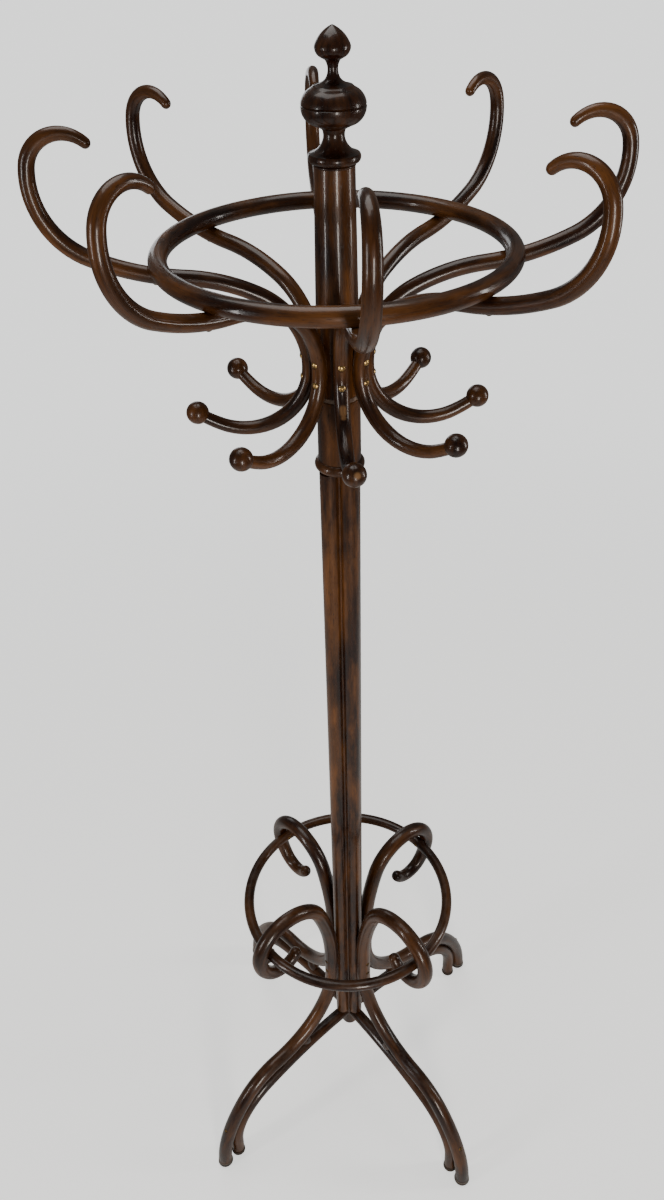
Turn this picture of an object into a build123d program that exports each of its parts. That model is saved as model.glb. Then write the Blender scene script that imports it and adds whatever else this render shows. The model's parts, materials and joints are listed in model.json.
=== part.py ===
from build123d import *
import os

os.makedirs("parts", exist_ok=True)

# Standing coat rack in bent beech: a four-lobed post on four scrolled legs and four braces, with an umbrella
# ring low down. Its head turns on a steel spindle and carries eight double hooks, a hat ring and a finial.
# Millimetres. The origin is on the floor under the post, +Z is up. One hook and one leg are drawn in the XZ
# plane, with x as the distance from the post's axis, and are turned into place.

# Numbers of each
hook_count = 8
leg_count = 4

# Post
neck_height = 1603.5        # floor to the face that the head turns on
lobe_radius = 12.9
lobe_circle = 18.2          # radius at which the lobes are centred
post_core = 18.1            # radius of the wood between the lobes
tenon_radius = 15.0
collar_radius = 32.4
collar_thickness = 16.0
sleeve_length = 85.5
sleeve_bottom_radius = 27.7
sleeve_top_radius = 27.1
edge_break = 1.0            # chamfer on turned edges

# Spindle and what it carries
spindle_radius = 6.0
spindle_in_post = 120.0
running_clearance = 0.05    # radial, spindle in bushes
face_clearance = 0.3        # between turning and standing faces
bush_wall = 3.0
bush_length = 30.0
thrust_washer_radius = 26.2
thrust_washer_thickness = 5.0
spindle_washer_radius = 11.0
spindle_washer_thickness = 2.5
nut_across_flats = 19.0
nut_height = 10.0
spindle_end_over_nut = 3.0
recess_radius = 13.0        # bored in the top of the hub for the nut
recess_depth = 80.0

# Head hub
hub_length = 260.0
hub_bottom_radius = 27.0
hub_top_radius = 22.5

# Hooks: each bend is its radius and the angle it turns through, to the left if positive
hook_rod = 18.7
hook_seat_height = 36.0     # above the hub's lower face
hook_seat_depth = 1.3
hook_turn = 10.0            # the head's rest position on its spindle
arm_bends = [(100, -63), (226, -22), (300, 20), (87, 77), (38.6, 120)]
coat_bends = [(78, 60), (78, 55), (160, 12)]
arm_taper = [(120, 18.3), (75, 17.2), (40, 15.4), (15, 13.4)]   # distance from the tip, diameter
arm_tip = 12.0
coat_taper = [(60, 17.0)]   # distance from the end, diameter
coat_tip = 15.0
ball_radius = 14.0

# Hat ring, lying on the hook arms
hat_ring_radius = 198.8
hat_ring_rod = 21.4
hat_ring_seat = 1.0

# Finial: radius and height above the hub
bead = [(21.8, 0), (23.2, 1.3), (21.9, 2.6)]
cap = [(26.6, 4.6), (28.7, 9.3), (27.5, 13.0)]
waist = [(14.8, 21.2), (11.6, 29.0), (12.8, 36.5)]
ball = [(20.9, 40.5), (34.6, 59.3), (23.3, 75.0)]
neck = [(20.4, 77.4), (12.6, 79.9), (8.4, 82.9), (6.2, 87.0), (5.5, 92.5), (8.1, 100.0)]
knob = [(12.9, 102.5), (17.8, 107.6), (18.7, 111.4), (16.9, 116.5), (13.3, 121.7), (8.0, 126.6), (0, 131.0)]
groove_depth = 1.8          # turned round the middle of the ball
spigot_radius = 6.0
spigot_length = 24.0
plug_length = 34.0

# Legs and braces
leg_rod = 27.0
leg_seat_length = 59.0      # straight stretch against the post
leg_seat_depth = 1.0
leg_bends = [(165, 84), (127, -41), (260, -40)]
scroll_bends = [(440, -20), (78, -70), (62, -90), (80, -40), (40, -50), (32, -60)]
scroll_taper = [(60, 24.0)]    # distance from the tip, diameter
scroll_tip = 21.6
brace_rod = 24.0
brace_foot_run = 35.0
brace_foot_heading = 92.0   # its foot leans out a little
brace_bends = [(130, 68), (600, 20)]        # from the foot up
brace_seat_depth = 0.8
pad_height = 16.0
foot_stub = 6.0             # rod run on past the pad, cut off level
pad_flare = 1.6             # how far a pad stands out past its rod
pad_rim = 0.7
pad_flat = 8.0              # radius that rests on the floor
boss_radius = 17.5
boss_above_brace = 17.0     # brace axis to the bottom of the post
boss_below_brace = 33.0     # brace axis to the centre of the boss's dome
spacer_reach = 110.0        # where the spacer bead stands on the brace
spacer_radius = 11.0
spacer_bulge = 2.0
spacer_seat = 1.5

# Umbrella ring, inside the scrolls
umbrella_ring_rod = 18.6
umbrella_ring_seat = 1.0
umbrella_ring_lift = 7.0    # above the scroll's outermost point

# Domed wood screws
screw_head_radius = 4.2
screw_head_height = 2.2
screw_shank_radius = 1.8
screw_spot_depth = 0.9      # flat sunk in the wood under each head
screw_bite = 12.0           # grip in the second piece
screw_hole_clearance = 0.2  # round the head
hook_screw_spacing = 28.0
leg_screw_spacing = 30.0


def bend_run(start, heading, bends):
    """Tangent arcs from start, each turning by its angle; an angle of nought is a straight run."""
    here = Vector(*start)
    way = Vector(1, 0).rotate(Axis.Z, heading)
    runs = []
    for size, turn in bends:
        if turn == 0:
            run = Line(here, here + way * size)
        else:
            run = JernArc(start=here, tangent=way, radius=size, arc_size=turn)
        runs.append(run)
        here = run @ 1
        way = run % 1
    return runs


def upright_path(runs):
    """Path in the XZ plane along runs that were drawn flat."""
    return Plane.XZ.location * Wire([edge for run in runs for edge in run.edges()])


def sweep_rod(runs, widths):
    """Round rod along runs, with a diameter at each distance from its far end; it is even if one is given."""
    path = upright_path(runs)
    sections = []
    for back, width in widths:
        along = path.length - back
        place = path.position_at(along, position_mode=PositionMode.LENGTH)
        way = path.tangent_at(along, position_mode=PositionMode.LENGTH)
        with BuildSketch(Plane(origin=place, x_dir=(0, 1, 0), z_dir=way)) as section:
            Circle(width / 2)
        sections.append(section.sketch)
    sweep(sections=sections, path=path, multisection=len(sections) > 1)


def total_length(runs):
    """Length of runs end to end."""
    return sum(run.length for run in runs)


def upright(place):
    """Point in the XZ plane from a distance out and a height."""
    return Vector(place.X, 0, place.Y)


def turned(turn, plane):
    """Location of a plane after a turn about the post's axis."""
    return Location((0, 0, 0), (0, 0, turn)) * plane.location


def domed_screw(grip):
    """Wood screw with its head on the XY plane, and its shank down to the grip's end."""
    with BuildPart() as screw:
        with BuildSketch(Plane.XZ):
            with BuildLine():
                Polyline(
                    (0, screw_head_height),
                    (0, -grip),
                    (screw_shank_radius, -grip + 2 * screw_shank_radius),
                    (screw_shank_radius, 0),
                    (screw_head_radius, 0),
                )
                TangentArc((0, screw_head_height), (screw_head_radius, 0), tangent=(1, 0))
            make_face()
        revolve(axis=Axis.Z)
    return screw.part


def screw_room(grip):
    """What a screw takes out of the wood: its shank's hole and the flat sunk under its head."""
    with BuildPart() as room:
        with Locations((0, 0, -grip / 2)):
            Cylinder(screw_shank_radius, grip)
        with Locations((0, 0, screw_head_radius / 2)):
            Cylinder(screw_head_radius + screw_hole_clearance, screw_head_radius)
    return room.part


def save(piece, name):
    piece.part.label = name
    export_step(piece.part, f"parts/{name}.step")


# ---------------------------------------------------------------- heights up the post and the hub

collar_bottom = neck_height - sleeve_length - collar_thickness
collar_top = neck_height - sleeve_length
hub_bottom = neck_height + thrust_washer_thickness + face_clearance
hub_top = hub_bottom + hub_length
recess_floor = hub_top - recess_depth
spindle_washer_bottom = recess_floor + face_clearance
nut_bottom = spindle_washer_bottom + spindle_washer_thickness
bush_radius = spindle_radius + running_clearance + bush_wall

# ---------------------------------------------------------------- hook line

hook_seat_z = hub_bottom + hook_seat_height
hub_slope = (hub_bottom_radius - hub_top_radius) / hub_length
hub_at_seat = hub_bottom_radius - hub_slope * hook_seat_height
hook_seat_radius = hub_at_seat + hook_rod / 2 - hook_seat_depth

with BuildLine():
    arm_runs = bend_run((hook_seat_radius, hook_seat_z), 90, arm_bends)
    coat_runs = bend_run((hook_seat_radius, hook_seat_z), 270, coat_bends)
arm_end = upright(arm_runs[-1] @ 1)
coat_end = upright(coat_runs[-1] @ 1)
arm_widths = [(total_length(arm_runs[3:]), hook_rod)] + arm_taper + [(0, arm_tip)]
coat_widths = [(total_length(coat_runs[1:]), hook_rod)] + coat_taper + [(0, coat_tip)]

# The hat ring touches the arm's third bend from above: its section lies on an arc inside that bend
rest_bend = arm_runs[2].edges()[0]
rest_centre = rest_bend.arc_center
rest_radius = rest_bend.radius - hook_rod / 2 - hat_ring_rod / 2 + hat_ring_seat
hat_ring_z = rest_centre.Y - (rest_radius**2 - (hat_ring_radius - rest_centre.X) ** 2) ** 0.5
hat_ring_middle = Vector(hat_ring_radius, 0, hat_ring_z)
arm_normal = (hat_ring_middle - upright(rest_centre)).normalized()

# ---------------------------------------------------------------- leg and brace lines

leg_seat_radius = lobe_circle + lobe_radius + leg_rod / 2 - leg_seat_depth
with BuildLine() as leg_trial:
    bend_run((leg_seat_radius, 0), 270, leg_bends)
leg_drop = -min((leg_trial.wire() @ 0).Y, (leg_trial.wire() @ 1).Y)
leg_seat_bottom = pad_height + leg_drop
leg_seat_top = leg_seat_bottom + leg_seat_length

with BuildLine() as leg_line:
    lower_bends = [(leg_seat_length, 0)] + leg_bends + [(foot_stub, 0)]
    lower_runs = bend_run((leg_seat_radius, leg_seat_top), 270, lower_bends)
    scroll_runs = bend_run((leg_seat_radius, leg_seat_top), 90, scroll_bends)
leg_foot = upright(lower_runs[-1] @ 0)
scroll_end = upright(scroll_runs[-1] @ 1)
scroll_side = upright(scroll_runs[2] @ 1)
scroll_widths = [(total_length(scroll_runs[3:]), leg_rod)] + scroll_taper + [(0, scroll_tip)]
umbrella_ring_radius = scroll_side.X - leg_rod / 2 - umbrella_ring_rod / 2 + umbrella_ring_seat
umbrella_ring_z = scroll_side.Z + umbrella_ring_lift


def brace_runs_from(foot):
    """Brace line from its foot up and in to the post's axis."""
    start = (foot, pad_height - foot_stub)
    runs = bend_run(start, brace_foot_heading, [(brace_foot_run + foot_stub, 0)] + brace_bends)
    top = runs[-1] @ 1
    runs.append(Line(top, (0, top.Y)))
    return runs


# The brace's foot is moved until its rod sinks into the leg's by the depth of the seat between them
rods_apart = (leg_rod + brace_rod) / 2 - brace_seat_depth
brace_foot_reach = leg_foot.X - rods_apart
for attempt in range(6):
    with BuildLine() as brace_line:
        brace_runs = brace_runs_from(brace_foot_reach)
    spacing = leg_line.wire().distance_to(brace_line.wire())
    brace_foot_reach += spacing - rods_apart
brace_z = (brace_runs[-1] @ 1).Y
post_bottom = brace_z + boss_above_brace
dome_centre_z = brace_z - boss_below_brace

# ---------------------------------------------------------------- screw places, on the hook and the leg

hook_screw_grip = hook_rod + screw_bite
hook_screw_planes = []
for run in (arm_runs[0], coat_runs[0]):
    place = upright(run.position_at(hook_screw_spacing / 2, position_mode=PositionMode.LENGTH))
    way = upright(run.tangent_at(hook_screw_spacing / 2, position_mode=PositionMode.LENGTH))
    outward = Vector(abs(way.Z), 0, -way.X * way.Z / abs(way.Z))
    seat = place + outward * (hook_rod / 2 - screw_spot_depth)
    hook_screw_planes.append(Plane(origin=seat, z_dir=outward))

hat_screw_grip = hook_rod + screw_bite
hat_screw_seat = upright(rest_centre) + arm_normal * (rest_bend.radius + hook_rod / 2 - screw_spot_depth)
hat_screw_plane = Plane(origin=hat_screw_seat, z_dir=arm_normal)

leg_screw_grip = leg_rod + screw_bite
leg_screw_planes = []
for step in (-0.5, 0.5):
    height = (leg_seat_bottom + leg_seat_top) / 2 + step * leg_screw_spacing
    seat = (leg_seat_radius + leg_rod / 2 - screw_spot_depth, 0, height)
    leg_screw_planes.append(Plane(origin=seat, z_dir=(1, 0, 0)))

leg_touch, brace_touch = [
    upright(place) for place in leg_line.wire().closest_points(brace_line.wire())
]
brace_outward = (leg_touch - brace_touch).normalized()
brace_screw_grip = leg_rod + screw_bite
brace_screw_seat = leg_touch + brace_outward * (leg_rod / 2 - screw_spot_depth)
brace_screw_plane = Plane(origin=brace_screw_seat, z_dir=brace_outward)

umbrella_screw_grip = umbrella_ring_rod + screw_bite
umbrella_screw_reach = umbrella_ring_radius - umbrella_ring_rod / 2 + screw_spot_depth
umbrella_screw_plane = Plane(origin=(umbrella_screw_reach, 0, umbrella_ring_z), z_dir=(-1, 0, 0))

hook_screw = domed_screw(hook_screw_grip)
hook_screw_room = screw_room(hook_screw_grip)
hat_screw = domed_screw(hat_screw_grip)
hat_screw_room = screw_room(hat_screw_grip)
leg_screw = domed_screw(leg_screw_grip)
leg_screw_room = screw_room(leg_screw_grip)
brace_screw = domed_screw(brace_screw_grip)
brace_screw_room = screw_room(brace_screw_grip)
umbrella_screw = domed_screw(umbrella_screw_grip)
umbrella_screw_room = screw_room(umbrella_screw_grip)

hook_turns = [hook_turn + 360 / hook_count * number for number in range(hook_count)]
leg_turns = [45 + 360 / leg_count * number for number in range(leg_count)]

# ---------------------------------------------------------------- post

with BuildPart() as post_shaft:
    with BuildSketch(Plane.XY.offset(post_bottom)):
        Circle(post_core)
        with PolarLocations(lobe_circle, leg_count, start_angle=45):
            Circle(lobe_radius)
    extrude(amount=collar_bottom - post_bottom)
    with BuildSketch(Plane.XY.offset(collar_bottom)):
        Circle(tenon_radius)
    extrude(amount=neck_height - collar_bottom)
    with Locations((0, 0, neck_height - spindle_in_post / 2)):
        Cylinder(spindle_radius, spindle_in_post, mode=Mode.SUBTRACT)
    with Locations(*[turned(turn, plane) for turn in leg_turns for plane in leg_screw_planes]):
        add(leg_screw_room, mode=Mode.SUBTRACT)
save(post_shaft, "post_shaft")

with BuildPart() as post_collar:
    with BuildSketch(Plane.XZ):
        with BuildLine():
            edge_centre = collar_radius - collar_thickness / 2
            Polyline(
                (edge_centre, collar_bottom),
                (tenon_radius, collar_bottom),
                (tenon_radius, collar_top),
                (edge_centre, collar_top),
            )
            ThreePointArc(
                (edge_centre, collar_top),
                (collar_radius, (collar_top + collar_bottom) / 2),
                (edge_centre, collar_bottom),
            )
        make_face()
    revolve(axis=Axis.Z)
save(post_collar, "post_collar")

with BuildPart() as neck_sleeve:
    with BuildSketch(Plane.XZ):
        with BuildLine():
            Polyline(
                (tenon_radius, collar_top),
                (sleeve_bottom_radius, collar_top),
                (sleeve_top_radius, neck_height),
                (tenon_radius, neck_height),
                close=True,
            )
        make_face()
    revolve(axis=Axis.Z)
    chamfer(edges().group_by(Axis.Z)[-1].sort_by(SortBy.RADIUS)[-1], edge_break)
save(neck_sleeve, "neck_sleeve")

with BuildPart() as base_boss:
    with BuildSketch(Plane.XZ):
        with BuildLine():
            Polyline(
                (0, dome_centre_z - boss_radius),
                (0, post_bottom),
                (boss_radius, post_bottom),
                (boss_radius, dome_centre_z),
            )
            CenterArc((0, dome_centre_z), boss_radius, -90, 90)
        make_face()
    revolve(axis=Axis.Z)
save(base_boss, "base_boss")

# ---------------------------------------------------------------- spindle

with BuildPart() as pivot_spindle:
    spindle_top = nut_bottom + nut_height + spindle_end_over_nut
    with BuildSketch(Plane.XY.offset(neck_height - spindle_in_post)):
        Circle(spindle_radius)
    extrude(amount=spindle_top - neck_height + spindle_in_post)
    chamfer(edges().group_by(Axis.Z)[-1], edge_break)
save(pivot_spindle, "pivot_spindle")

with BuildPart() as thrust_washer:
    with BuildSketch(Plane.XY.offset(neck_height)):
        Circle(thrust_washer_radius)
        Circle(spindle_radius, mode=Mode.SUBTRACT)
    extrude(amount=thrust_washer_thickness)
save(thrust_washer, "thrust_washer")

with BuildPart() as spindle_washer:
    with BuildSketch(Plane.XY.offset(spindle_washer_bottom)):
        Circle(spindle_washer_radius)
        Circle(spindle_radius, mode=Mode.SUBTRACT)
    extrude(amount=spindle_washer_thickness)
save(spindle_washer, "spindle_washer")

with BuildPart() as spindle_nut:
    with BuildSketch(Plane.XY.offset(nut_bottom)):
        RegularPolygon(nut_across_flats / 2, 6, major_radius=False)
        Circle(spindle_radius, mode=Mode.SUBTRACT)
    extrude(amount=nut_height)
save(spindle_nut, "spindle_nut")

for name, bottom in (("lower_bush", hub_bottom), ("upper_bush", recess_floor - bush_length)):
    with BuildPart() as bush:
        with BuildSketch(Plane.XY.offset(bottom)):
            Circle(bush_radius)
            Circle(spindle_radius + running_clearance, mode=Mode.SUBTRACT)
        extrude(amount=bush_length)
    save(bush, name)

# ---------------------------------------------------------------- head

with BuildPart() as hub_blank:
    with BuildSketch(Plane.XZ):
        with BuildLine():
            Polyline(
                (bush_radius, hub_bottom),
                (hub_bottom_radius, hub_bottom),
                (hub_top_radius, hub_top),
                (recess_radius, hub_top),
                (recess_radius, recess_floor),
                (bush_radius, recess_floor),
                close=True,
            )
        make_face()
    revolve(axis=Axis.Z)
    chamfer(edges().group_by(Axis.Z)[0].sort_by(SortBy.RADIUS)[-1], edge_break)
with BuildPart() as head_hub:
    add(hub_blank.part)
    with Locations(*[turned(turn, plane) for turn in hook_turns for plane in hook_screw_planes]):
        add(hook_screw_room, mode=Mode.SUBTRACT)
save(head_hub, "head_hub")

with BuildPart() as finial_dowel:
    with BuildSketch(Plane.XY.offset(hub_top - plug_length)):
        Circle(recess_radius)
    extrude(amount=plug_length)
    with BuildSketch(Plane.XY.offset(hub_top)):
        Circle(spigot_radius)
    extrude(amount=spigot_length)
save(finial_dowel, "finial_dowel")

with BuildPart() as finial:
    with BuildSketch(Plane.XZ):
        with BuildLine(Plane((0, hub_top, 0))):
            Line((0, 0), bead[0])
            ThreePointArc(*bead)
            Line(bead[-1], cap[0])
            ThreePointArc(*cap)
            Spline(cap[-1], *waist)
            Line(waist[-1], ball[0])
            ThreePointArc(*ball)
            Line(ball[-1], neck[0])
            Spline(*neck)
            Line(neck[-1], knob[0])
            Spline(*knob)
            Line(knob[-1], (0, 0))
        make_face()
        with Locations((ball[1][0], hub_top + ball[1][1])):
            Rectangle(groove_depth, groove_depth, rotation=45, mode=Mode.SUBTRACT)
    revolve(axis=Axis.Z)
    with Locations((0, 0, hub_top + spigot_length / 2)):
        Cylinder(spigot_radius, spigot_length, mode=Mode.SUBTRACT)
save(finial, "finial")

# ---------------------------------------------------------------- hat ring and hooks

with BuildPart() as ring_blank:
    with BuildSketch(Plane.XZ):
        with Locations((hat_ring_radius, hat_ring_z)):
            Circle(hat_ring_rod / 2)
    revolve(axis=Axis.Z)

with BuildPart() as hook_form:
    sweep_rod(arm_runs[:3], [(total_length(arm_runs[:3]), hook_rod)])
    sweep_rod(arm_runs[3:], arm_widths)
    sweep_rod(coat_runs[:1], [(coat_runs[0].length, hook_rod)])
    sweep_rod(coat_runs[1:], coat_widths)
    with Locations(arm_end):
        Sphere(arm_tip / 2)
    add(hub_blank.part, mode=Mode.SUBTRACT)
    add(ring_blank.part, mode=Mode.SUBTRACT)
    with Locations(*[plane.location for plane in hook_screw_planes]):
        add(hook_screw_room, mode=Mode.SUBTRACT)
    with Locations(hat_screw_plane.location):
        add(hat_screw_room, mode=Mode.SUBTRACT)

with BuildPart() as ball_form:
    with Locations(coat_end):
        Sphere(ball_radius)
    add(hook_form.part, mode=Mode.SUBTRACT)

for number, turn in enumerate(hook_turns, start=1):
    with BuildPart() as hook:
        add(hook_form.part, rotation=(0, 0, turn))
    save(hook, f"hook_{number}")
    with BuildPart() as hook_ball:
        add(ball_form.part, rotation=(0, 0, turn))
    save(hook_ball, f"hook_ball_{number}")

with BuildPart() as hook_screws:
    with Locations(*[turned(turn, plane) for turn in hook_turns for plane in hook_screw_planes]):
        add(hook_screw)
save(hook_screws, "hook_screws")

with BuildPart() as hat_ring_screws:
    with Locations(*[turned(turn, hat_screw_plane) for turn in hook_turns]):
        add(hat_screw)
save(hat_ring_screws, "hat_ring_screws")

with BuildPart() as hat_ring:
    add(ring_blank.part)
    with Locations(*[turned(turn, hat_screw_plane) for turn in hook_turns]):
        add(hat_screw_room, mode=Mode.SUBTRACT)
save(hat_ring, "hat_ring")

# ---------------------------------------------------------------- umbrella ring, legs and braces

with BuildPart() as umbrella_ring:
    with BuildSketch(Plane.XZ):
        with Locations(Location((umbrella_ring_radius, umbrella_ring_z, 0), (0, 0, 90))):
            Circle(umbrella_ring_rod / 2)
    revolve(axis=Axis.Z)
    with Locations(*[turned(turn, umbrella_screw_plane) for turn in leg_turns]):
        add(umbrella_screw_room, mode=Mode.SUBTRACT)
save(umbrella_ring, "umbrella_ring")

with BuildPart() as leg_form:
    sweep_rod(lower_runs, [(total_length(lower_runs), leg_rod)])
    sweep_rod(scroll_runs[:3], [(total_length(scroll_runs[:3]), leg_rod)])
    sweep_rod(scroll_runs[3:], scroll_widths)
    with Locations(scroll_end):
        Sphere(scroll_tip / 2)
    split(bisect_by=Plane.XY.offset(pad_height), keep=Keep.TOP)
    with Locations((lobe_circle, 0, leg_seat_bottom)):
        Cylinder(lobe_radius, 6 * leg_seat_length, mode=Mode.SUBTRACT)
    with Locations((0, 0, umbrella_ring_z)):
        Torus(umbrella_ring_radius, umbrella_ring_rod / 2, mode=Mode.SUBTRACT)
    with Locations(*[plane.location for plane in leg_screw_planes]):
        add(leg_screw_room, mode=Mode.SUBTRACT)
    with Locations(umbrella_screw_plane.location):
        add(umbrella_screw_room, mode=Mode.SUBTRACT)
    with Locations(brace_screw_plane.location):
        add(brace_screw_room, mode=Mode.SUBTRACT)

with BuildPart() as brace_form:
    sweep_rod(brace_runs, [(total_length(brace_runs), brace_rod)])
    split(bisect_by=Plane.XY.offset(pad_height), keep=Keep.TOP)
    with Locations((0, 0, brace_z)):
        Cylinder(boss_radius, 2 * brace_rod, mode=Mode.SUBTRACT)
    add(leg_form.part, mode=Mode.SUBTRACT)
    with Locations(brace_screw_plane.location):
        add(brace_screw_room, mode=Mode.SUBTRACT)

for number, turn in enumerate(leg_turns, start=1):
    with BuildPart() as leg:
        add(leg_form.part, rotation=(0, 0, turn))
    save(leg, f"leg_{number}")
    with BuildPart() as brace:
        add(brace_form.part, rotation=(0, 0, turn))
    save(brace, f"brace_{number}")

# The bead stands square to the brace and to the leg's bend, on a line through that bend's centre
brace_path = upright_path(brace_runs)
spacer_foot = brace_path.position_at(brace_path.length - spacer_reach, position_mode=PositionMode.LENGTH)
leg_bend_centre = upright(lower_runs[1].edges()[0].arc_center)
spacer_way = (leg_bend_centre - spacer_foot).normalized()
spacer_start = brace_rod / 2 - spacer_seat
spacer_end = (leg_bend_centre - spacer_foot).length - leg_bends[0][0] - leg_rod / 2 + spacer_seat
with BuildPart() as spacer_form:
    with BuildSketch(Plane.XZ):
        with BuildLine():
            Polyline(
                (spacer_radius - spacer_bulge, spacer_start),
                (0, spacer_start),
                (0, spacer_end),
                (spacer_radius - spacer_bulge, spacer_end),
            )
            ThreePointArc(
                (spacer_radius - spacer_bulge, spacer_end),
                (spacer_radius, (spacer_start + spacer_end) / 2),
                (spacer_radius - spacer_bulge, spacer_start),
            )
        make_face()
    revolve(axis=Axis.Z)
with BuildPart() as spacer_fitted:
    with Locations(Plane(origin=spacer_foot, x_dir=(0, 1, 0), z_dir=spacer_way)):
        add(spacer_form.part)
    add(leg_form.part, mode=Mode.SUBTRACT)
    add(brace_form.part, mode=Mode.SUBTRACT)
with BuildPart() as spacer_beads:
    with PolarLocations(0, leg_count, start_angle=45):
        add(spacer_fitted.part)
save(spacer_beads, "spacer_beads")

groups = (
    ("leg_post_screws", leg_screw_planes, leg_screw),
    ("leg_brace_screws", [brace_screw_plane], brace_screw),
    ("umbrella_ring_screws", [umbrella_screw_plane], umbrella_screw),
)
for name, planes, screw_form in groups:
    with BuildPart() as screws:
        with Locations(*[turned(turn, plane) for turn in leg_turns for plane in planes]):
            add(screw_form)
    save(screws, name)

for name, reach, rod in (("leg_pads", leg_foot.X, leg_rod), ("brace_pads", brace_foot_reach, brace_rod)):
    with BuildPart() as pad_form:
        with BuildSketch(Plane.XZ):
            with BuildLine():
                Polyline(
                    (pad_flat, 0),
                    (0, 0),
                    (0, pad_height),
                    (rod / 2 + pad_rim, pad_height),
                    (rod / 2 + pad_flare, pad_height / 2),
                )
                ThreePointArc(
                    (rod / 2 + pad_flare, pad_height / 2),
                    (rod / 2 - pad_flare, pad_height / 6),
                    (pad_flat, 0),
                )
            make_face()
        revolve(axis=Axis.Z)
    with BuildPart() as pads:
        with PolarLocations(reach, leg_count, start_angle=45):
            add(pad_form.part)
    save(pads, name)
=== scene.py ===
import json
import math
import bmesh
import bpy
import numpy as np
from mathutils import Matrix, Vector

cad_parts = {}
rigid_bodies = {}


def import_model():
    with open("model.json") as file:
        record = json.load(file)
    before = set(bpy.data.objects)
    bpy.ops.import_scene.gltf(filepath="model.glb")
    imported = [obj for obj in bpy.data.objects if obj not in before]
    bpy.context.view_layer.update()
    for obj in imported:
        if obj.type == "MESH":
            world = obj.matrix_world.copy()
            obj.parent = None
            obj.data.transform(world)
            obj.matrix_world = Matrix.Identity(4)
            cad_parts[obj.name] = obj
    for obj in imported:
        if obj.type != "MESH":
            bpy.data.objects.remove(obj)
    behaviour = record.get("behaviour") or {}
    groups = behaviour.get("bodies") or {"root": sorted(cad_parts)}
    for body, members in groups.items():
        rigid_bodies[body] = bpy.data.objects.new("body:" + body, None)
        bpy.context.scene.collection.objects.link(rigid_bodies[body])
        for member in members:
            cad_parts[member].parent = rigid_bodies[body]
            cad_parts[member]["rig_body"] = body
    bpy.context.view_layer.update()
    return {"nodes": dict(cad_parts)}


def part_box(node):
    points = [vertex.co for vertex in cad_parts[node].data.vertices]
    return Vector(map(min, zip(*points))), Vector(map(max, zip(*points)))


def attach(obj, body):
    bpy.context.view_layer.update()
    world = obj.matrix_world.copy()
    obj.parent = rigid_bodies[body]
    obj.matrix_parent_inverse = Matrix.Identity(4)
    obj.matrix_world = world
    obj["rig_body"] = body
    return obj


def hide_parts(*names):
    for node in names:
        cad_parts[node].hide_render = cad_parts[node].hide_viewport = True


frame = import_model()
nodes = frame["nodes"]

# Standing coat rack: dark stained bent beech under semi-gloss varnish. Metres, in the CAD frame.
# Every rod gets its own straightened coordinates, so that the grain runs along the bends.

HOOKS = 8
LEGS = 4
HOOK_TURN = 10.0
LEG_TURN = 45.0
SMOOTH_ANGLE = math.radians(38)
MERGE = 2e-6

# Bends of one hook and one leg: radius and angle turned, to the left if positive; a straight has no angle
ARM_BENDS = [(0.100, -63), (0.226, -22), (0.300, 20), (0.087, 77), (0.0386, 130)]
COAT_BENDS = [(0.078, 115), (0.160, 16)]
LEG_BENDS = [(0.059, 0), (0.165, 84), (0.127, -41), (0.260, -40), (0.010, 0)]
SCROLL_BENDS = [(0.440, -20), (0.078, -70), (0.062, -90), (0.080, -40), (0.040, -50), (0.032, -85)]
BRACE_BENDS = [(0.037, 0), (0.130, 68), (0.600, 20), (0.250, 0)]
HOOK_SEAT = (0.03439, 1.6448)
LEG_SEAT = (0.0436, 0.4425)
BRACE_FOOT = (0.3076, 0.014)
HAT_RING_RADIUS = 0.1988
UMBRELLA_RING_RADIUS = 0.1836


# ---------------------------------------------------------------- camera

HEAD_TURN = 5.568           # degrees that the view is turned to the left of straight ahead
LOOK_DOWN = 37.63
TILT = -1.501
camera_data = bpy.data.cameras.new("viewpoint")
camera_data.sensor_fit = "VERTICAL"
camera_data.sensor_height = 36.0
camera_data.lens = 29.205
camera_data.clip_end = 60.0
camera = bpy.data.objects.new("viewpoint", camera_data)
bpy.context.scene.collection.objects.link(camera)
stand_off = 1.1031
eye_height = 2.1356
round_turn = math.radians(4.8)
camera.location = (stand_off * math.sin(round_turn), -stand_off * math.cos(round_turn), eye_height)
turn_matrix = Matrix.Rotation(math.radians(HEAD_TURN), 4, "Z")
pitch_matrix = Matrix.Rotation(math.radians(90 - LOOK_DOWN), 4, "X")
tilt_matrix = Matrix.Rotation(math.radians(TILT), 4, "Z")
camera.rotation_euler = (turn_matrix @ pitch_matrix @ tilt_matrix).to_euler()
bpy.context.scene.camera = camera


# ---------------------------------------------------------------- shader sheets


class Value:
    """A socket in a material; arithmetic on it adds Math nodes."""

    def __init__(self, sheet, socket):
        self.sheet = sheet
        self.socket = socket

    def _math(self, operation, first, second):
        return self.sheet.node("ShaderNodeMath", {"operation": operation}, {0: first, 1: second})

    def __add__(self, other):
        return self._math("ADD", self, other)

    __radd__ = __add__

    def __sub__(self, other):
        return self._math("SUBTRACT", self, other)

    def __rsub__(self, other):
        return self._math("SUBTRACT", other, self)

    def __mul__(self, other):
        return self._math("MULTIPLY", self, other)

    def least(self, other):
        return self._math("MINIMUM", self, other)

    def ramp(self, low, high):
        """Nought below low, one above high, smooth between; the other way round if low is above high."""
        settings = {"interpolation_type": "SMOOTHSTEP"}
        if low < high:
            inputs = {"Value": self, "From Min": low, "From Max": high}
            return self.sheet.node("ShaderNodeMapRange", settings, inputs)
        inputs = {"Value": self, "From Min": high, "From Max": low}
        return 1 - self.sheet.node("ShaderNodeMapRange", settings, inputs)


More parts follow.
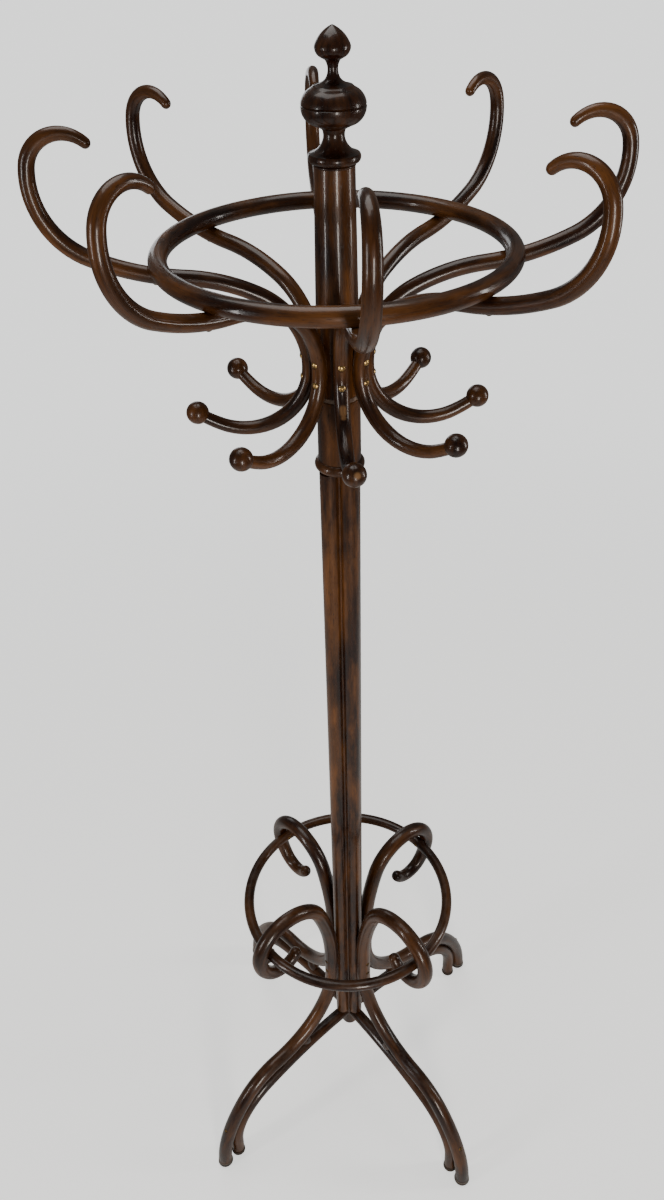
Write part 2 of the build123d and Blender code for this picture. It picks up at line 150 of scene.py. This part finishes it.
class Sheet:
    """The node sheet of one material."""

    def __init__(self, name):
        self.material = bpy.data.materials.new(name)
        self.material.use_nodes = True
        self.tree = self.material.node_tree
        self.surface = self.tree.nodes["Principled BSDF"]

    def node(self, kind, settings=None, inputs=None, output=0):
        """Any node: its settings first, then the values or links of its sockets."""
        made = self.tree.nodes.new(kind)
        for name, setting in (settings or {}).items():
            setattr(made, name, setting)
        for key, given in (inputs or {}).items():
            self.feed(made.inputs[key], given)
        return Value(self, made.outputs[output])

    def feed(self, socket, given):
        if isinstance(given, Value):
            self.tree.links.new(given.socket, socket)
        else:
            socket.default_value = given

    def set(self, **sockets):
        """Feeds the surface's sockets; underscores stand for spaces."""
        for name, given in sockets.items():
            self.feed(self.surface.inputs[name.replace("_", " ")], given)

    def scaled(self, vector, factors):
        return self.node("ShaderNodeVectorMath", {"operation": "MULTIPLY"}, {0: vector, 1: factors})

    def shifted(self, vector, offset):
        return self.node("ShaderNodeVectorMath", {"operation": "ADD"}, {0: vector, 1: offset})

    def noise(self, vector, scale, detail=3.0, roughness=0.5):
        inputs = {"Vector": vector, "Scale": scale, "Detail": detail, "Roughness": roughness}
        return self.node("ShaderNodeTexNoise", {}, inputs)

    def mix(self, factor, first, second):
        """Colour mix."""
        inputs = {0: factor, 6: first, 7: second}
        return self.node("ShaderNodeMix", {"data_type": "RGBA"}, inputs, 2)

    def bump(self, height, strength, distance, under=None):
        inputs = {"Height": height, "Strength": strength, "Distance": distance}
        if under is not None:
            inputs["Normal"] = under
        return self.node("ShaderNodeBump", {}, inputs)

    def place(self):
        return self.node("ShaderNodeTexCoord", {}, {}, 3)

    def straightened(self):
        return self.node("ShaderNodeAttribute", {"attribute_name": "straight"}, {}, 1)

    def upward(self):
        """How far the surface faces up, from -1 to 1."""
        normal = self.node("ShaderNodeNewGeometry", {}, {}, 1)
        return self.node("ShaderNodeSeparateXYZ", {}, {0: normal}, 2)

    def near(self, place, centre, radius):
        """One at a place on the piece, falling to nought at a radius."""
        gap = self.node("ShaderNodeVectorMath", {"operation": "DISTANCE"}, {0: place, 1: centre}, 1)
        return gap.ramp(radius, radius * 0.35)


def rgb(red, green, blue):
    return (red, green, blue, 1.0)


# Stained beech, from the pores to where the varnish glows
PORE = rgb(0.0014, 0.0004, 0.0002)
SHADE = rgb(0.0052, 0.0013, 0.0006)
STAIN = rgb(0.019, 0.0046, 0.0014)
GLOW = rgb(0.165, 0.060, 0.0125)
# Tan of rubbed bare wood, also used as a painted golden highlight on the front hook and its ball
BARE_AND_HIGHLIGHT = rgb(0.20, 0.100, 0.038)
DUST = rgb(0.13, 0.105, 0.085)


def stained_wood(name, along_rod, glow=1.0, dust=0.0, seed=0.0, wear_and_highlight=(), joints=()):
    """Dark stained beech under varnish, with grain along the rod, or up the piece if it is turned."""
    sheet = Sheet(name)
    place = sheet.place()
    grain_place = sheet.straightened() if along_rod else place
    grain_place = sheet.shifted(grain_place, (seed, seed * 0.7, seed * 1.3))
    fine = sheet.noise(sheet.scaled(grain_place, (1.0, 1.0, 0.03)), 1100.0, 4.0, 0.62)
    flecks = sheet.noise(sheet.scaled(grain_place, (1.0, 1.0, 0.11)), 1500.0, 1.0, 0.4).ramp(0.60, 0.74)
    figure = sheet.noise(sheet.scaled(grain_place, (1.0, 1.0, 0.07)), 210.0, 3.0, 0.55)
    mottle = sheet.noise(sheet.scaled(grain_place, (1.0, 1.0, 0.22)), 60.0, 4.0, 0.6)
    patches = sheet.noise(sheet.scaled(grain_place, (1.0, 1.0, 0.35)), 16.0, 2.0, 0.5)
    warm = (mottle.ramp(0.38, 0.72) * 0.55 + patches.ramp(0.40, 0.66) * 0.45) * glow
    warm = warm * (0.45 + figure * 1.1)
    colour = sheet.mix(figure.ramp(0.30, 0.66), SHADE, STAIN)
    colour = sheet.mix(warm.least(1.0), colour, GLOW)
    colour = sheet.mix(fine.ramp(0.50, 0.70) * 0.40, colour, PORE)
    colour = sheet.mix(flecks * 0.6, colour, PORE)
    rough = 0.25 + fine.ramp(0.35, 0.75) * 0.10 + mottle.ramp(0.35, 0.7) * 0.08
    coat = 0.5
    # Tan spots with thinner coat and more roughness: rubbed bare wood, and also painted golden highlights
    for centre, radius in wear_and_highlight:
        bare_and_highlight_spot = sheet.near(place, centre, radius) * mottle.ramp(0.28, 0.40)
        colour = sheet.mix(bare_and_highlight_spot, colour, BARE_AND_HIGHLIGHT)
        rough = rough + bare_and_highlight_spot * 0.2
        coat = coat - bare_and_highlight_spot * 0.5
    if joints:
        along = sheet.node("ShaderNodeSeparateXYZ", {}, {0: sheet.straightened()}, 2)
        across = sheet.node("ShaderNodeSeparateXYZ", {}, {0: sheet.straightened()}, 0)
        for joint, slant in joints:
            signed_gap = along - joint - across * slant
            gap = sheet.node("ShaderNodeMath", {"operation": "ABSOLUTE"}, {0: signed_gap})
            line = gap.ramp(0.0012, 0.0004)
            colour = sheet.mix(line * 0.9, colour, PORE)
    if dust:
        lying = sheet.noise(place, 60.0, 5.0, 0.65).ramp(0.36, 0.68)
        settled = sheet.upward().ramp(0.35, 0.95) * lying * dust
        colour = sheet.mix(settled, colour, DUST)
        rough = rough + settled * 0.4
        coat = coat - settled * 0.5
    relief = sheet.bump(fine, 0.16, 0.0004)
    relief = sheet.bump(flecks, 0.22, -0.0003, relief)
    relief = sheet.bump(sheet.noise(grain_place, 55.0, 2.0, 0.5), 0.05, 0.002, relief)
    sheet.set(Base_Color=colour, Roughness=rough, Normal=relief, Coat_Weight=coat, Coat_Roughness=0.09)
    sheet.set(Specular_IOR_Level=0.30, IOR=1.45, Coat_IOR=1.38)
    return sheet.material


def metal(name, colour, dull, rough, tarnish):
    """Worn metal with dull patches."""
    sheet = Sheet(name)
    place = sheet.place()
    patches = sheet.noise(place, tarnish, 4.0, 0.6)
    fine = sheet.noise(place, 2400.0, 3.0, 0.6)
    sheet.set(
        Base_Color=sheet.mix(patches.ramp(0.40, 0.68), colour, dull),
        Roughness=rough + patches * 0.2,
        Metallic=1.0,
        Normal=sheet.bump(fine, 0.12, 0.0002),
    )
    return sheet.material


def highlight_washer():
    """Washer under the head, pale as a painted highlight line at the seam of hub and sleeve, with fibre
    relief, darker in its rubbed stretches.
    """
    sheet = Sheet("pale_washer")
    place = sheet.place()
    patches = sheet.noise(place, 60.0, 3.0, 0.6)
    fibre = sheet.noise(sheet.scaled(place, (1.0, 1.0, 6.0)), 500.0, 3.0, 0.6)
    # Pale tone is a painted highlight line at the seam; darker rubbed stretches are mixed in
    colour = sheet.mix(patches.ramp(0.35, 0.65), rgb(0.30, 0.22, 0.16), rgb(0.10, 0.06, 0.04))
    sheet.set(Base_Color=colour, Roughness=0.5 + fibre * 0.2, Normal=sheet.bump(fibre, 0.2, 0.0003))
    return sheet.material


def scuffed_pad():
    """Foot pads: dark stain scuffed grey-brown, with a pale rim at the top edge that is rubbed wear and a
    painted highlight.
    """
    sheet = Sheet("foot_pad")
    place = sheet.place()
    height = sheet.node("ShaderNodeSeparateXYZ", {}, {0: place}, 2)
    grit = sheet.noise(place, 320.0, 5.0, 0.7)
    scuff = sheet.noise(place, 70.0, 4.0, 0.6).ramp(0.42, 0.66)
    # Pale band round the pad's top edge: rubbed wear and a painted highlight line
    rubbed_and_highlight_rim = height.ramp(0.0145, 0.0156) * grit.ramp(0.3, 0.5)
    colour = sheet.mix(scuff * 0.55, rgb(0.010, 0.005, 0.004), rgb(0.11, 0.085, 0.065))
    colour = sheet.mix(rubbed_and_highlight_rim * 0.8, colour, rgb(0.22, 0.19, 0.16))
    sheet.set(Base_Color=colour, Roughness=0.45 + scuff * 0.3, Normal=sheet.bump(grit, 0.35, 0.0005))
    return sheet.material


# ---------------------------------------------------------------- straightened rods


def lay_out(start, heading, bends):
    """Spans of a line of tangent arcs: where each starts, which way it heads, and how far along it is."""
    spans = []
    here = np.array(start, float)
    way = math.radians(heading)
    along = 0.0
    for size, turn in bends:
        turn = math.radians(turn)
        spans.append((here.copy(), way, size, turn, along))
        if turn:
            side = math.copysign(1.0, turn)
            centre = here + size * side * np.array((-math.sin(way), math.cos(way)))
            way += turn
            here = centre - size * side * np.array((-math.sin(way), math.cos(way)))
            along += size * abs(turn)
        else:
            here = here + size * np.array((math.cos(way), math.sin(way)))
            along += size
    return spans


def nearest_on(spans, flat, off_plane, sign):
    """Straightened coordinates of points against spans, and how far they are from the line."""
    best = np.full(len(flat), 1e9)
    straight = np.zeros((len(flat), 3))
    for here, way, size, turn, start in spans:
        ahead = np.array((math.cos(way), math.sin(way)))
        left = np.array((-math.sin(way), math.cos(way)))
        local = flat - here
        if turn:
            side = math.copysign(1.0, turn)
            out = local - size * side * left
            angle = np.arctan2(out @ ahead, -side * (out @ left))
            inside = np.clip(angle, 0, abs(turn))
            reach = np.hypot(out[:, 0], out[:, 1])
            offset = side * (size - reach)
            miss = np.where(angle == inside, np.abs(offset), 1.0)
            along = start + size * inside
        else:
            forward = local @ ahead
            inside = np.clip(forward, 0, size)
            offset = local @ left
            miss = np.where(forward == inside, np.abs(offset), 1.0)
            along = start + inside
        closer = miss < best
        best = np.where(closer, miss, best)
        straight[closer, 0] = offset[closer] * sign
        straight[closer, 1] = off_plane[closer]
        straight[closer, 2] = along[closer] * sign
    return best, straight


def straighten_planar(points, turn, lines):
    """Points of a rod that lies in the upright plane at that turn, against its lines."""
    angle = math.radians(turn)
    flat = np.stack((points[:, 0] * math.cos(angle) + points[:, 1] * math.sin(angle), points[:, 2]), axis=1)
    off_plane = -points[:, 0] * math.sin(angle) + points[:, 1] * math.cos(angle)
    best, straight = nearest_on(lines[0], flat, off_plane, 1)
    for spans in lines[1:]:
        other_best, other = nearest_on(spans, flat, off_plane, -1)
        closer = other_best < best
        best = np.where(closer, other_best, best)
        straight[closer] = other[closer]
    return straight


def straighten_ring(points, radius, height):
    """Points of a level ring."""
    angle = np.arctan2(points[:, 1], points[:, 0])
    reach = np.hypot(points[:, 0], points[:, 1])
    return np.stack((reach - radius, points[:, 2] - height, angle * radius), axis=1)


def smooth_copy(name):
    """A merged, smoothly shaded copy of a CAD node, to stand for it."""
    source = nodes[name]
    mesh = source.data.copy()
    mesh.name = name + "_surface"
    shape = bmesh.new()
    shape.from_mesh(mesh)
    bmesh.ops.remove_doubles(shape, verts=shape.verts, dist=MERGE)
    bmesh.ops.dissolve_degenerate(shape, edges=shape.edges, dist=MERGE)
    for face in shape.faces:
        face.smooth = True
    for edge in shape.edges:
        edge.smooth = edge.calc_face_angle(0.0) < SMOOTH_ANGLE
    shape.to_mesh(mesh)
    shape.free()
    piece = bpy.data.objects.new(name + "_finish", mesh)
    bpy.context.scene.collection.objects.link(piece)
    return piece


def stands_for(piece, name, material):
    piece.data.materials.clear()
    piece.data.materials.append(material)
    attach(piece, nodes[name]["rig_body"])
    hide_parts(name)


def points_of(mesh):
    points = np.zeros(len(mesh.vertices) * 3)
    mesh.vertices.foreach_get("co", points)
    return points.reshape(-1, 3)


def keep_straight(piece, straight):
    """Stores straightened coordinates on the piece."""
    layer = piece.data.attributes.new("straight", "FLOAT_VECTOR", "POINT")
    layer.data.foreach_set("vector", straight.astype(np.float32).ravel())


def bent_piece(name, turn, lines, material):
    piece = smooth_copy(name)
    keep_straight(piece, straighten_planar(points_of(piece.data), turn, lines))
    stands_for(piece, name, material)


def ring_piece(name, radius, material):
    low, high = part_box(name)
    piece = smooth_copy(name)
    keep_straight(piece, straighten_ring(points_of(piece.data), radius, (low[2] + high[2]) / 2))
    stands_for(piece, name, material)


def hook_turn(number):
    """Degrees round the post at which a hook stands."""
    return HOOK_TURN + 360 / HOOKS * (number - 1)


def on_hook(number, reach, height):
    """Place at a distance from the post's axis, in a hook's own plane."""
    angle = math.radians(hook_turn(number))
    return (reach * math.cos(angle), reach * math.sin(angle), height)


# ---------------------------------------------------------------- hooks and their balls

FRONT = 7                   # the hook nearest the front
LEFT_FRONT = 6              # the one to its left
# Tan spots, partly rubbed bare wood and partly painted golden highlight: the hook, the middle of the place
# and its radius
rubbed_and_highlight_spots = (
    (FRONT, (on_hook(FRONT, 0.0529, 1.6105), 0.0060)),
    (FRONT, (on_hook(FRONT, 0.0550, 1.6060), 0.0055)),
    (FRONT, (on_hook(FRONT, 0.0575, 1.6010), 0.0045)),
    (LEFT_FRONT, (on_hook(LEFT_FRONT, 0.3190, 1.8350), 0.008)),
)
hook_lines = [lay_out(HOOK_SEAT, 90, ARM_BENDS), lay_out(HOOK_SEAT, 270, COAT_BENDS)]
for number in range(1, HOOKS + 1):
    wear_and_highlight = [bare_and_highlight_spot for hook, bare_and_highlight_spot in rubbed_and_highlight_spots if hook == number]
    wood = stained_wood(f"hook_stain_{number}", True, glow=0.85, dust=0.04, seed=number * 0.37, wear_and_highlight=wear_and_highlight)
    bent_piece(f"hook_{number}", hook_turn(number), hook_lines, wood)
    # A tan spot on the front ball: rubbed wear and a painted highlight
    ball_wear_and_highlight = [((0.0345, -0.1830, 1.5970), 0.0055)] if number == FRONT else []
    ball_wood = stained_wood(f"ball_stain_{number}", False, glow=0.6, seed=number * 0.21, wear_and_highlight=ball_wear_and_highlight)
    piece = smooth_copy(f"hook_ball_{number}")
    stands_for(piece, f"hook_ball_{number}", ball_wood)

# ---------------------------------------------------------------- rings

scarf_angles = (math.radians(4.8), math.radians(-175.2))
hat_joints = [(angle * HAT_RING_RADIUS, 2.2) for angle in scarf_angles]
hat_wood = stained_wood("hat_ring_stain", True, glow=0.9, dust=0.10, seed=2.3, joints=hat_joints)
ring_piece("hat_ring", HAT_RING_RADIUS, hat_wood)
umbrella_wood = stained_wood("umbrella_ring_stain", True, glow=0.6, dust=0.18, seed=3.1)
ring_piece("umbrella_ring", UMBRELLA_RING_RADIUS, umbrella_wood)

# ---------------------------------------------------------------- legs and braces

leg_lines = [lay_out(LEG_SEAT, 90, SCROLL_BENDS), lay_out(LEG_SEAT, 270, LEG_BENDS)]
brace_lines = [lay_out(BRACE_FOOT, 92, BRACE_BENDS)]
for number in range(1, LEGS + 1):
    turn = LEG_TURN + 360 / LEGS * (number - 1)
    leg_wood = stained_wood(f"leg_stain_{number}", True, glow=0.65, dust=0.16, seed=number * 0.53 + 4)
    bent_piece(f"leg_{number}", turn, leg_lines, leg_wood)
    brace_wood = stained_wood(f"brace_stain_{number}", True, glow=0.6, dust=0.22, seed=number * 0.41 + 7)
    bent_piece(f"brace_{number}", turn, brace_lines, brace_wood)

# ---------------------------------------------------------------- turned pieces and the post

turned = (
    ("post_shaft", 1.15, 0.03, 11.0, "post_wood"),
    ("post_collar", 0.6, 0.08, 12.0, "turned_wood"),
    ("neck_sleeve", 0.8, 0.0, 13.0, "turned_wood"),
    ("head_hub", 1.0, 0.0, 14.0, "turned_wood"),
    ("finial", 0.45, 0.03, 15.0, "turned_wood"),
    ("base_boss", 0.4, 0.3, 16.0, "turned_wood"),
    ("spacer_beads", 0.4, 0.3, 17.0, "turned_wood"),
)
for name, glow, dust, seed, slot in turned:
    wood = stained_wood(name + "_stain", False, glow=glow, dust=dust, seed=seed)
    stands_for(smooth_copy(name), name, wood)

# ---------------------------------------------------------------- metal, washer and pads

brass = metal("brass_screw", rgb(0.62, 0.42, 0.17), rgb(0.22, 0.13, 0.05), 0.24, 180.0)
old_brass = metal("dull_brass_screw", rgb(0.16, 0.095, 0.035), rgb(0.035, 0.020, 0.010), 0.36, 180.0)
steel = metal("steel", rgb(0.55, 0.55, 0.56), rgb(0.28, 0.26, 0.25), 0.28, 120.0)
bush_brass = metal("bush_brass", rgb(0.66, 0.48, 0.21), rgb(0.40, 0.27, 0.11), 0.3, 90.0)
plain = (
    ("hook_screws", brass, "brass_screw"),
    ("hat_ring_screws", old_brass, "brass_screw"),
    ("umbrella_ring_screws", old_brass, "brass_screw"),
    ("leg_post_screws", old_brass, "brass_screw"),
    ("leg_brace_screws", old_brass, "brass_screw"),
    ("pivot_spindle", steel, "steel"),
    ("spindle_washer", steel, "steel"),
    ("spindle_nut", steel, "steel"),
    ("lower_bush", bush_brass, "bush_brass"),
    ("upper_bush", bush_brass, "bush_brass"),
    ("thrust_washer", highlight_washer(), "pale_washer"),
    ("leg_pads", scuffed_pad(), "foot_pad"),
    ("finial_dowel", stained_wood("dowel_beech", False, glow=1.0, seed=20.0), "raw_beech"),
)
for name, material, slot in plain:
    stands_for(smooth_copy(name), name, material)
stands_for(smooth_copy("brace_pads"), "brace_pads", bpy.data.materials["foot_pad"])

# ---------------------------------------------------------------- floor and light


BACKDROP = rgb(0.93, 0.94, 0.93)


def floor():
    """Plain pale floor that fades out into the backdrop."""
    mesh = bpy.data.meshes.new("studio_floor")
    shape = bmesh.new()
    bmesh.ops.create_circle(shape, cap_ends=True, segments=96, radius=4.0)
    shape.to_mesh(mesh)
    shape.free()
    ground = bpy.data.objects.new("studio_floor", mesh)
    bpy.context.scene.collection.objects.link(ground)
    sheet = Sheet("studio_floor")
    reach = sheet.node("ShaderNodeVectorMath", {"operation": "LENGTH"}, {0: sheet.place()}, 1)
    seen = sheet.node("ShaderNodeLightPath", {}, {}, 0)
    sheet.set(
        Base_Color=rgb(0.80, 0.80, 0.79),
        Roughness=0.9,
        Alpha=reach.ramp(3.6, 0.7),
        Emission_Color=sheet.mix(seen, rgb(0.0, 0.0, 0.0), BACKDROP),
        Emission_Strength=0.95,
    )
    mesh.materials.append(sheet.material)


def studio_world():
    """Pale backdrop to look at, and a dim room to light the piece and be mirrored in its varnish."""
    world = bpy.data.worlds.new("studio")
    world.use_nodes = True
    tree = world.node_tree
    room = tree.nodes["Background"]
    room.inputs["Color"].default_value = rgb(1.0, 0.96, 0.92)
    room.inputs["Strength"].default_value = 0.11
    backdrop = tree.nodes.new("ShaderNodeBackground")
    backdrop.inputs["Color"].default_value = BACKDROP
    backdrop.inputs["Strength"].default_value = 1.6
    seen = tree.nodes.new("ShaderNodeLightPath")
    choice = tree.nodes.new("ShaderNodeMixShader")
    tree.links.new(seen.outputs["Is Camera Ray"], choice.inputs[0])
    tree.links.new(room.outputs[0], choice.inputs[1])
    tree.links.new(backdrop.outputs[0], choice.inputs[2])
    tree.links.new(choice.outputs[0], tree.nodes["World Output"].inputs["Surface"])
    bpy.context.scene.world = world


def window(name, place, aim, width, height, power, colour):
    """Soft rectangular light."""
    data = bpy.data.lights.new(name, "AREA")
    data.shape = "RECTANGLE"
    data.size = width
    data.size_y = height
    data.energy = power
    data.color = colour
    lamp = bpy.data.objects.new(name, data)
    lamp.location = place
    lamp.rotation_euler = (Vector(aim) - Vector(place)).to_track_quat("-Z", "Y").to_euler()
    bpy.context.scene.collection.objects.link(lamp)


floor()
window("front_door", (0.9, -3.2, 1.25), (0, 0, 1.2), 0.55, 1.5, 62.0, (1.0, 0.93, 0.86))
window("left_window", (-2.6, -1.9, 1.6), (0, 0, 1.3), 0.28, 1.7, 32.0, (1.0, 0.97, 0.95))
window("right_window", (2.9, 0.3, 1.7), (0, 0, 1.3), 0.28, 1.6, 24.0, (1.0, 0.96, 0.92))
window("back_window", (-1.2, 3.0, 1.8), (0, 0, 1.2), 1.2, 1.4, 9.0, (0.96, 0.98, 1.0))
window("ceiling", (-0.4, 0.6, 4.6), (0, 0, 0.0), 2.4, 2.4, 62.0, (1.0, 0.98, 0.95))
studio_world()
